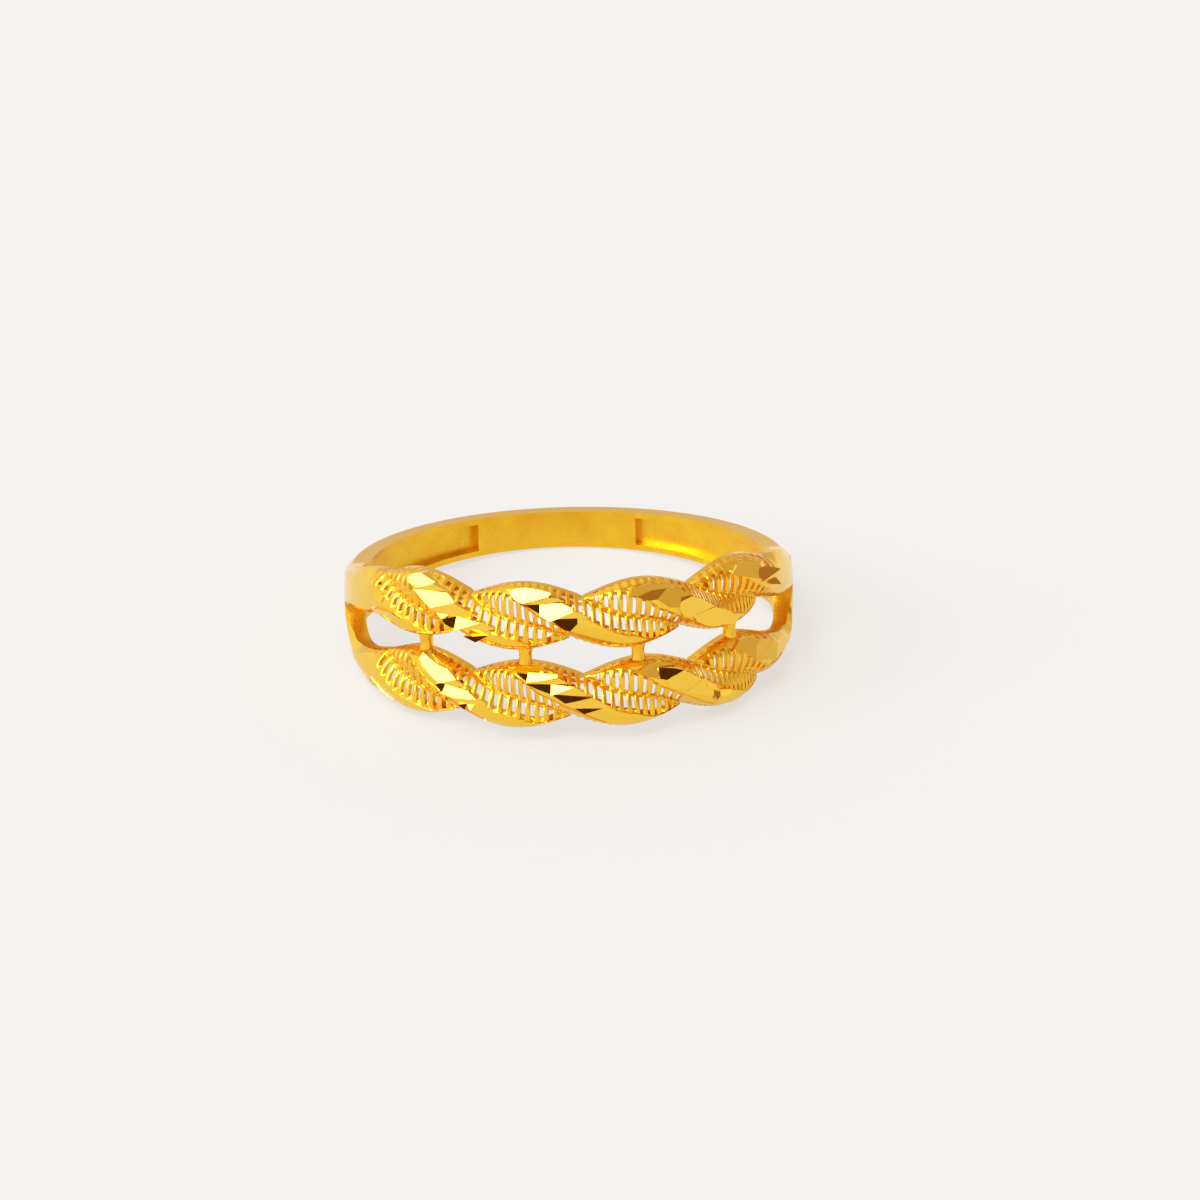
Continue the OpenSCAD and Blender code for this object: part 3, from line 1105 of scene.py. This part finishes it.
def linear(code: str) -> tuple[float, float, float, float]:
    """Turns an sRGB hex colour into the linear one that a shader takes.

    Args:
        code: Colour such as "f2b53a".

    Returns:
        Red, green, blue and 1.
    """
    parts = [int(code[i:i + 2], 16) / 255 for i in (0, 2, 4)]
    parts = [c / 12.92 if c <= 0.04045 else ((c + 0.055) / 1.055) ** 2.4 for c in parts]
    return (*parts, 1.0)


def add_node(tree: bpy.types.NodeTree, kind: str, settings: dict, links: dict) -> bpy.types.Node:
    """Adds a node with its settings and its links.

    Args:
        tree: Node tree.
        kind: Type of the node.
        settings: Its properties, and its inputs by name or number.
        links: Output sockets that feed its inputs, by the input's name or number.

    Returns:
        The node.
    """
    node = tree.nodes.new(kind)
    for key, value in settings.items():
        if isinstance(key, str) and hasattr(node, key):
            setattr(node, key, value)
        else:
            node.inputs[key].default_value = value
    for key, socket in links.items():
        tree.links.new(socket, node.inputs[key])
    return node


@dataclass(frozen=True)
class GoldFinish:
    """22-carat yellow gold: a deep yellow metal whose tone shifts a little from place to place.

    tone and deep are its two tones, rough its two roughnesses, waves the size in mm of the soft
    unevenness that polishing leaves, marks the size of the fine tool marks, and relief their depth.
    """

    name: str
    tone: str
    deep: str
    rough: tuple[float, float]
    waves: float
    marks: float
    relief: float

    def make(self) -> bpy.types.Material:
        """Builds the material from its nodes.

        Returns:
            The material.
        """
        material = bpy.data.materials.new(self.name)
        material.use_nodes = True
        tree = material.node_tree
        tree.nodes.clear()
        spot = add_node(tree, "ShaderNodeTexCoord", {}, {}).outputs["Object"]
        # The scale of a noise is one over the size of its waves
        soft = add_node(tree, "ShaderNodeTexNoise", {"Scale": 1 / (self.waves * MM), "Detail": 2.0},
                        {"Vector": spot})
        fine = add_node(tree, "ShaderNodeTexNoise", {"Scale": 1 / (self.marks * MM), "Detail": 3.0},
                        {"Vector": spot})
        tone = add_node(tree, "ShaderNodeMix",
                        {"data_type": "RGBA", 6: linear(self.tone), 7: linear(self.deep)},
                        {0: soft.outputs["Fac"]})
        low, high = self.rough
        rough = add_node(tree, "ShaderNodeMapRange",
                         {"From Min": 0.3, "From Max": 0.7, "To Min": low, "To Max": high},
                         {"Value": fine.outputs["Fac"]})
        # The soft unevenness is four times as deep as the fine marks
        bump = add_node(tree, "ShaderNodeBump", {"Strength": 1.0, "Distance": self.relief * MM},
                        {"Height": fine.outputs["Fac"]})
        wave = add_node(tree, "ShaderNodeBump", {"Strength": 1.0, "Distance": self.relief * 4 * MM},
                        {"Height": soft.outputs["Fac"], "Normal": bump.outputs["Normal"]})
        shader = add_node(tree, "ShaderNodeBsdfPrincipled", {"Metallic": 1.0}, {
            "Base Color": tone.outputs[2], "Roughness": rough.outputs["Result"],
            "Normal": wave.outputs["Normal"]})
        add_node(tree, "ShaderNodeOutputMaterial", {}, {"Surface": shader.outputs["BSDF"]})
        return material


@dataclass(frozen=True)
class Glow:
    """A brighter or darker part of the soft light.

    azimuth is from the view and height above the floor, both in degrees. It ends at half degrees from its
    middle, fades out over edge degrees more, and adds power to the light, or takes that share of it away.
    """

    azimuth: float
    height: float
    half: float
    edge: float
    power: float


@dataclass
class Studio:
    """Plain pale floor, soft light all round and the photograph's view, a 240 mm lens from 349 mm."""

    place: RingPlace
    view_turn: float = -3.6
    view_height: float = 18.4
    roll: float = -1.2
    distance: float = 349.3
    aside: float = 1.371
    below: float = -0.437
    lens: float = 240.0
    base: float = 1.02
    floor_size: float = 3.0
    floor_tone: str = "767676"
    floor_light: str = "fffdf9"
    floor_power: float = 0.63
    PANELS = (Glow(0, 85, 14, 9, 0.5), Glow(-30, 60, 9, 6, 8.0), Glow(-68, 30, 13, 8, 5.5))
    GAPS = (
        Glow(92, 38, 42, 25, -0.25), Glow(63, 25, 9, 9, -0.35), Glow(119, 5, 7, 6, -0.35),
        Glow(180, 8, 22, 16, -0.2), Glow(0, 27, 9, 4, -0.9),
    )

    def basis(self) -> tuple[Vector, Vector, Vector]:
        """Works out how the view is turned.

        Returns:
            Its right, up and back directions in the model's frame.
        """
        turned = self.place.matrix.to_3x3()
        back = Vector(direction(self.view_turn, self.view_height))
        right = Vector((0, 0, 1)).cross(back).normalized()
        up = back.cross(right)
        c, s = math.cos(math.radians(self.roll)), math.sin(math.radians(self.roll))
        return turned @ (right * c + up * s), turned @ (up * c - right * s), turned @ back

    def camera(self) -> None:
        """Places the camera."""
        right, up, back = self.basis()
        data = bpy.data.cameras.new("camera")
        data.lens, data.sensor_width = self.lens, 36.0
        data.clip_start, data.clip_end = 0.01, 10.0
        camera = bpy.data.objects.new("camera", data)
        bpy.context.scene.collection.objects.link(camera)
        turned = Matrix((right, up, back)).transposed().to_4x4()
        centre = Vector(self.place.mount["pos_m"])
        spot = centre + (back * self.distance + right * self.aside + up * self.below) * MM
        camera.matrix_world = Matrix.Translation(spot) @ turned
        bpy.context.scene.camera = camera

    def floor(self) -> None:
        """Lays a plain matt table under the ring, lit from below as for small goods."""
        start_fresh()
        bpy.ops.mesh.primitive_plane_add(size=self.floor_size, location=(0, 0, 0))
        floor = new_piece("floor")
        material = bpy.data.materials.new("pale_matt_floor")
        material.use_nodes = True
        shader = material.node_tree.nodes["Principled BSDF"]
        shader.inputs["Base Color"].default_value = linear(self.floor_tone)
        shader.inputs["Roughness"].default_value = 0.9
        shader.inputs["Emission Color"].default_value = linear(self.floor_light)
        shader.inputs["Emission Strength"].default_value = self.floor_power
        floor.data.materials.append(material)

    def light(self) -> None:
        """Fills the room with even soft light, with a few bright panels and darker gaps."""
        world = bpy.data.worlds.new("soft_light")
        bpy.context.scene.world = world
        world.use_nodes = True
        tree = world.node_tree
        tree.nodes.clear()
        way = add_node(tree, "ShaderNodeTexCoord", {}, {}).outputs["Generated"]
        _, _, back = self.basis()
        heading = math.degrees(math.atan2(back.x, -back.y))
        total, clear = None, None
        for glow in self.PANELS + self.GAPS:
            aim = tuple(direction(glow.azimuth + heading, glow.height))
            dot = add_node(tree, "ShaderNodeVectorMath", {"operation": "DOT_PRODUCT", 1: aim}, {0: way})
            fade = add_node(tree, "ShaderNodeMapRange", {
                "interpolation_type": "SMOOTHSTEP", "From Min": math.cos(math.radians(glow.half + glow.edge)),
                "From Max": math.cos(math.radians(glow.half)), "To Min": 0.0, "To Max": glow.power,
            }, {"Value": dot.outputs["Value"]})
            if glow.power < 0:
                keep = add_node(tree, "ShaderNodeMath", {"operation": "ADD", 1: 1.0}, {0: fade.outputs[0]})
                given = {1: clear.outputs[0]} if clear else {}
                clear = add_node(tree, "ShaderNodeMath", {"operation": "MULTIPLY", 1: 1.0},
                                 {0: keep.outputs[0], **given})
            else:
                given = {1: total.outputs[0]} if total else {}
                total = add_node(tree, "ShaderNodeMath", {"operation": "ADD", 1: self.base},
                                 {0: fade.outputs[0], **given})
        # Where less light comes from, it is warmer
        cool = add_node(tree, "ShaderNodeMapRange", {"From Min": 0.3, "From Max": 1.0},
                        {"Value": clear.outputs[0]})
        tint = add_node(tree, "ShaderNodeMix",
                        {"data_type": "RGBA", 6: linear("d88a3a"), 7: linear("fdfdff")},
                        {0: cool.outputs[0]})
        power = add_node(tree, "ShaderNodeMath", {"operation": "MULTIPLY"},
                         {0: total.outputs[0], 1: clear.outputs[0]})
        ground = add_node(tree, "ShaderNodeBackground", {},
                          {"Color": tint.outputs[2], "Strength": power.outputs[0]})
        add_node(tree, "ShaderNodeOutputWorld", {}, {"Surface": ground.outputs[0]})
        bpy.context.scene.view_settings.view_transform = "Standard"
        bpy.context.scene.view_settings.look = "None"


FRONT, LEFT, RIGHT, TOP = Cut.FRONT, Cut.LEFT, Cut.RIGHT, Cut.TOP
SIDE, DOWN, HIGH, ALONG = Cut.SIDE, Cut.DOWN, Cut.HIGH, Cut.ALONG
# Facets of each leaf by its row and strip: how each leans, and its corners as a place along the
# strip and a rise from the row's middle
FACETS = {
    (1, 0): [
        (ALONG, [(1.0, .07), (1.03, .27), (1.09, .25), (1.14, .02), (1.12, -.22), (1.04, -.23)]),
        (LEFT, [(.98, -.72), (1.12, -.53), (1.29, -.49), (1.37, -.61), (1.24, -.74), (1.02, -.88)]),
    ],
    (1, 1): [
        (LEFT, [(.44, 1.3), (.48, 1.45), (.55, 1.5), (.70, 1.24), (.54, .93), (.45, 1.1)]),
        (DOWN, [(.54, .95), (.70, 1.22), (.84, .97), (.62, .92)]),
        (LEFT, [(.53, .88), (.84, .94), (.92, .62), (.72, .24), (.62, .55)]),
        (DOWN, [(.71, .26), (.92, .62), (1.12, .17), (.93, .08), (.77, .07)]),
        (LEFT, [(.76, .09), (.88, .09), (.82, -.13)]),
        (FRONT, [(.85, -.05), (.95, .07), (.94, -.43), (.88, -.26)]),
        (LEFT, [(.95, .06), (1.16, -.06), (.95, -.52)]),
        (DOWN, [(.95, -.52), (1.16, -.08), (1.29, -.33)]),
        (FRONT, [(1.04, -.67), (1.22, -.66), (1.13, -.92)]),
    ],
    (-1, 1): [
        (ALONG, [(.38, 1.22), (.46, 1.43), (.56, 1.5), (.55, 1.19)]),
        (LEFT, [(.54, 1.2), (.56, 1.47), (.70, 1.12), (.82, .98), (.91, .64), (.77, .38), (.65, .74)]),
        (FRONT, [(.76, .41), (.83, .45), (.81, .08)]),
        (DOWN, [(.80, .46), (.91, .64), (1.05, .27), (.84, .38)]),
        (LEFT, [(.82, .38), (1.03, .28), (1.12, -.01), (.92, -.08), (.80, .02)]),
        (DOWN, [(.80, .02), (.92, -.06), (1.12, 0), (1.2, -.3), (.96, -.34)]),
        (FRONT, [(.95, -.35), (1.02, -.33), (1.01, -.58)]),
        (LEFT, [(1.02, -.34), (1.08, -.36), (1.06, -.58)]),
    ],
    (1, 2): [
        (TOP, [(.38, 1.28), (.44, 1.40), (.52, 1.43), (.62, 1.38), (.73, 1.26), (.71, 1.13), (.50, .86),
               (.43, 1.02)]),
        (DOWN, [(.52, .85), (.71, 1.12), (.79, 1.08), (.84, .93), (.65, .85)]),
        (FRONT, [(.52, .84), (.645, .86), (.645, .46)]),
        (TOP, [(.645, .83), (.81, .92), (.90, .73), (.90, .60), (.73, .23), (.645, .44)]),
        (DOWN, [(.72, .25), (.91, .60), (1.04, .23)]),
        (FRONT, [(.72, .24), (.94, .24), (.94, .02), (.88, -.28), (.83, -.21)]),
    ],
    (-1, 2): [
        (ALONG, [(.37, 1.26), (.49, 1.45), (.56, 1.46), (.64, 1.35), (.68, 1.25), (.46, 1.17)]),
        (FRONT, [(.44, 1.18), (.525, 1.18), (.525, .84)]),
        (TOP, [(.525, 1.19), (.77, 1.15), (.77, 1.05), (.67, .94), (.52, .84)]),
        (DOWN, [(.52, .84), (.68, .94), (.78, 1.04), (.86, .78), (.72, .77)]),
        (FRONT, [(.53, .79), (.72, .79), (.72, .36), (.61, .58)]),
        (TOP, [(.72, .77), (.90, .69), (.72, .36)]),
        (DOWN, [(.72, .38), (.90, .68), (1.04, .20)]),
        (FRONT, [(.71, .37), (1.04, .18), (.94, .06), (.83, -.04)]),
        (ALONG, [(.82, -.05), (1.04, .15), (1.2, -.34), (.9, -.3)]),
        (FRONT, [(.89, -.29), (1.12, -.35), (.98, -.55)]),
    ],
    (1, 3): [
        (HIGH, [(.37, 1.06), (.42, 1.30), (.57, 1.38), (.74, 1.17), (.70, 1.11), (.56, 1.13), (.43, .97)]),
        (RIGHT, [(.43, .96), (.56, 1.13), (.70, 1.11), (.60, .74), (.52, .76)]),
        (TOP, [(.60, .74), (.70, 1.11), (.77, 1.09), (.90, .72), (.80, .70), (.77, .31), (.68, .38)]),
        (RIGHT, [(.80, .69), (.91, .70), (.89, .63), (.79, .49)]),
        (DOWN, [(.77, .27), (.80, .50), (.90, .62), (.99, .43), (1.13, -.08), (.90, -.27), (.82, -.2)]),
        (RIGHT, [(.91, -.29), (1.12, -.10), (1.22, -.31), (1.16, -.98), (1.04, -.85), (.96, -.6)]),
        (RIGHT, [(1.23, -.31), (1.29, -.52), (1.37, -.84), (1.31, -1.08), (1.17, -.98)]),
    ],
    (-1, 3): [
        (HIGH, [(.44, 1.11), (.51, 1.28), (.64, 1.31), (.77, 1.10), (.60, 1.13), (.50, 1.09)]),
        (ALONG, [(.45, 1.08), (.60, 1.12), (.60, .67), (.50, .85)]),
        (FRONT, [(.61, 1.12), (.72, 1.09), (.79, 1.0), (.73, .82), (.65, .63), (.61, .66)]),
        (DOWN, [(.65, .61), (.74, .81), (.80, .95), (.88, .68), (1.0, .29), (.84, -.08), (.68, .36)]),
        (ALONG, [(.84, -.08), (1.03, .33), (1.03, -.13), (1.09, -.33), (1.09, -.55), (.95, -.35)]),
        (LEFT, [(1.04, .19), (1.10, -.03), (1.08, -.16), (1.03, -.13)]),
        (RIGHT, [(1.08, -.36), (1.15, -.43), (1.14, -.62), (1.11, -.74)]),
        (LEFT, [(1.17, -.40), (1.24, -.41), (1.24, -.61), (1.17, -.72)]),
        (ALONG, [(1.25, -.48), (1.53, -.99), (1.38, -1.09), (1.21, -1.11), (1.13, -.85), (1.17, -.72)]),
    ],
    (1, 4): [
        (ALONG, [(.36, 1.01), (.46, 1.26), (.56, 1.30), (.73, 1.10), (.70, .86), (.66, .70), (.62, .50),
                 (.45, .84)]),
        (HIGH, [(.74, .90), (.80, .96), (.88, .67), (.73, .83)]),
        (SIDE, [(.66, .82), (.84, .69), (1.0, .35), (.96, .32), (.72, .28), (.66, .46)]),
        (DOWN, [(.73, .17), (.98, .28), (.97, .12), (.78, .13)]),
        (SIDE, [(.79, .10), (.94, .05), (.97, -.30), (.83, -.09)]),
    ],
    (-1, 4): [
        (ALONG, [(.37, 1.10), (.48, 1.34), (.59, 1.32), (.73, 1.07), (.65, .87), (.58, .42), (.44, .93)]),
        (SIDE, [(.73, 1.07), (.90, .78), (.98, .48), (.91, .23), (.85, -.06), (.58, .42), (.65, .87)]),
    ],
}

# Cast and hand-polished 22-carat gold: mirror-like, with soft unevenness left by the buff
POLISHED = GoldFinish("polished_22_carat_gold", "fbd14a", "f7c53c", (0.10, 0.20), 1.4, 0.05, 0.0010)
# Cast gold as it leaves the mould, brightened by hand only: satin, a little grainy, soft highlights
CAST = GoldFinish("cast_satin_22_carat_gold", "fbd046", "f2b22c", (0.16, 0.26), 0.8, 0.06, 0.0010)
# Cast gold inside the shank, left matt and never buffed: a cloudy yellow, painted deeper and more orange as
# painted shade for the dimmer light inside the shank
INSIDE = GoldFinish("matt_cast_22_carat_gold", "fad53c", "ecac26", (0.26, 0.42), 1.0, 0.09, 0.0009)
# Gold cut by a diamond tool: flat facets as bright as a mirror, with hair-fine marks
CUT = GoldFinish("diamond_cut_22_carat_gold", "fcd252", "f8c642", (0.06, 0.12), 0.9, 0.04, 0.0001)


def dress(piece: bpy.types.Object, finish: bpy.types.Material | None = None) -> None:
    """Ties a piece to the model, and gives it its finish if it has none.

    Args:
        piece: The piece.
        finish: The finish that it is given.
    """
    if finish:
        piece.data.materials.append(finish)
    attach(piece, "root")
    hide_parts(NODE)
    log.info("%s: %d faces", piece.name, len(piece.data.polygons))


def main() -> None:
    """Builds the ring piece by piece, then the studio."""
    logging.basicConfig(level=logging.INFO, format="%(message)s")
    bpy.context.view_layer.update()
    place = RingPlace()
    finishes = [POLISHED.make(), CAST.make(), INSIDE.make()]
    cut = CUT.make()
    ends = []
    for side, row_name in ((1, "upper"), (-1, "lower")):
        row = RopeRow(side)
        for k in range(row.last + 1):
            strip = RopeStrip(row, k, place, finishes)
            piece = strip.build()
            if strip.is_end:
                ends.append(piece)
            else:
                piece = join([piece], f"{row_name}_lobe_{k}")
                close_up(piece, strip.smooth_deg)
                place.put(piece)
                dress(piece)
            if (side, k) in FACETS:
                leaf = join(CutLeaf(strip, FACETS[side, k]).build(), f"{row_name}_leaf_{k}")
                close_up(leaf, None)
                place.put(leaf)
                dress(leaf, cut)
    shank = join(ends, "shank_and_shoulders")
    close_up(shank, RopeStrip.smooth_deg)
    place.put(shank)
    dress(shank)
    posts = Posts(place)
    piece = posts.build()
    close_up(piece, posts.smooth_deg)
    place.put(piece)
    dress(piece, finishes[FinishSlot.CAST])
    studio = Studio(place)
    studio.camera()
    studio.floor()
    studio.light()


if __name__ == "__main__":
    main()
